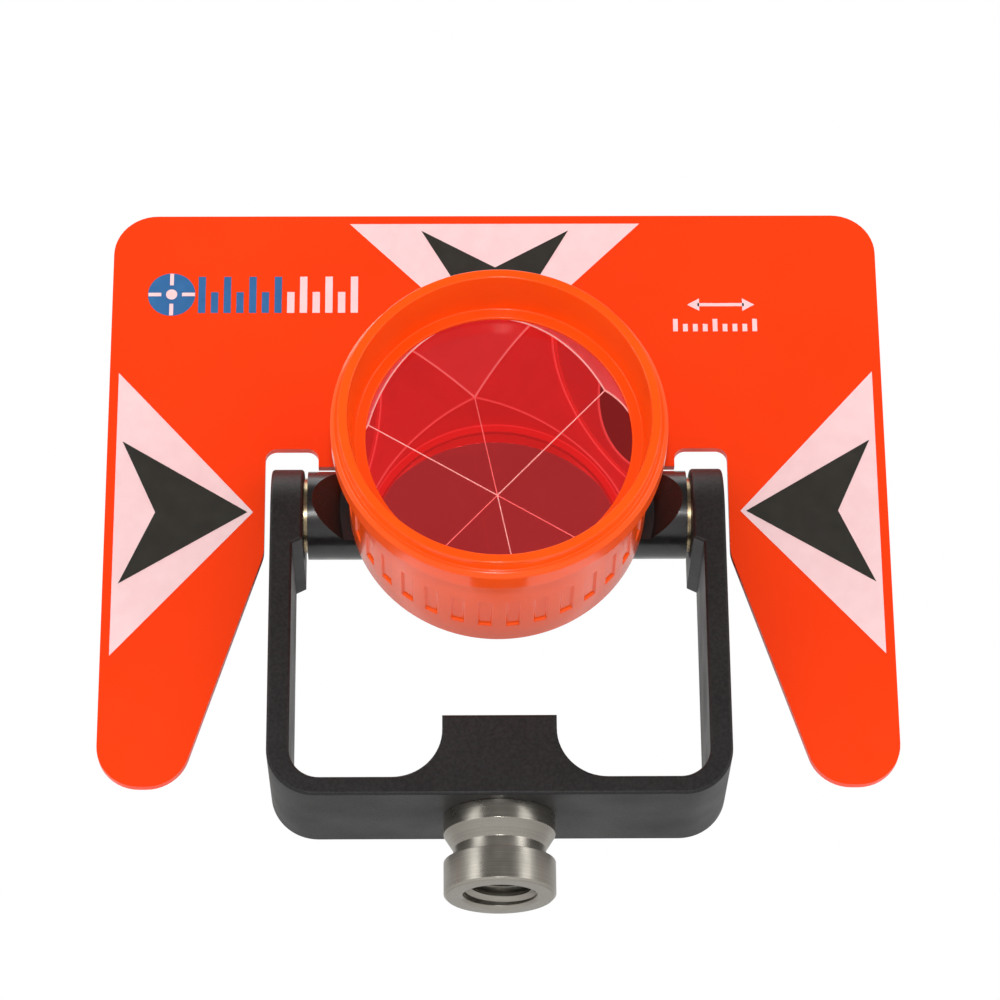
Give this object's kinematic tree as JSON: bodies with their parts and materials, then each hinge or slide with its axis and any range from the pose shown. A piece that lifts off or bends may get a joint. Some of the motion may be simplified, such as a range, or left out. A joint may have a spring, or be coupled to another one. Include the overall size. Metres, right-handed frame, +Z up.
{
  "type": "survey prism",
  "caption": "Tilting survey prism: a glass corner cube in a screwed canister, held between the arms of a U-shaped yoke with a flat sighting target and a pole thread below.",
  "frame": {"origin": "centre of the pole thread's mouth, on the adapter's bottom face", "axes": "+Z up along the pole's axis, +X along the tilt axis, -Y the way the prism and the target look"},
  "size_m": [0.1778, 0.0695, 0.1671],
  "materials": {
    "black_coat": "satin black coating with a fine grain, on a cast aluminium frame",
    "steel": "turned and brushed stainless steel",
    "dark_steel": "black oxide screws",
    "brass": "turned brass",
    "black_holder": "glossy black coating",
    "target_orange": "bright orange paint on sheet aluminium, with white and black sighting marks",
    "canister_orange": "glossy moulded orange plastic",
    "rubber": "soft black rubber",
    "seal_silicone": "red silicone rubber",
    "prism_glass": "clear optical glass, coated on its three back faces",
    "cap_plastic": "matt black moulded cap",
    "nylon": "natural white nylon"
  },
  "bodies": {
    "yoke": {"yoke_frame": "black_coat", "thread_adapter": "steel", "adapter_screw": "dark_steel", "adapter_lock_washer": "steel", "pivot_bush_left": "brass", "pivot_bush_right": "brass", "disc_spring_left": "steel", "disc_spring_right": "steel"},
    "tilt_head": {"prism_holder": "black_holder", "pivot_screw_left": "dark_steel", "pivot_screw_right": "dark_steel", "target_plate": "target_orange", "plate_screws": "dark_steel", "plate_washers": "steel"},
    "slip_washer": {"slip_washer": "nylon"},
    "canister": {"canister_barrel": "canister_orange", "front_ring": "canister_orange", "front_seal": "seal_silicone", "glass_prism": "prism_glass", "prism_cushion": "rubber", "rear_cap": "cap_plastic", "rear_cap_gasket": "rubber"}
  },
  "joints": [
    {"name": "tilt", "type": "hinge", "parent": "yoke", "child": "tilt_head", "pos_m": [0, 0, 0.0908], "axis": [1, 0, 0], "range_deg": [-105, 32]},
    {"name": "canister_travel", "type": "slide", "parent": "tilt_head", "child": "slip_washer", "axis": [0, -1, 0], "range_m": [0, 0.00751]},
    {"name": "canister_turn", "type": "hinge", "parent": "slip_washer", "child": "canister", "pos_m": [0, 0, 0.0908], "axis": [0, -1, 0], "range_deg": [0, 1800]}
  ],
  "couplings": [
    {"joint": "canister_travel", "follows": "canister_turn", "m_per_rad": 0.00023873}
  ]
}
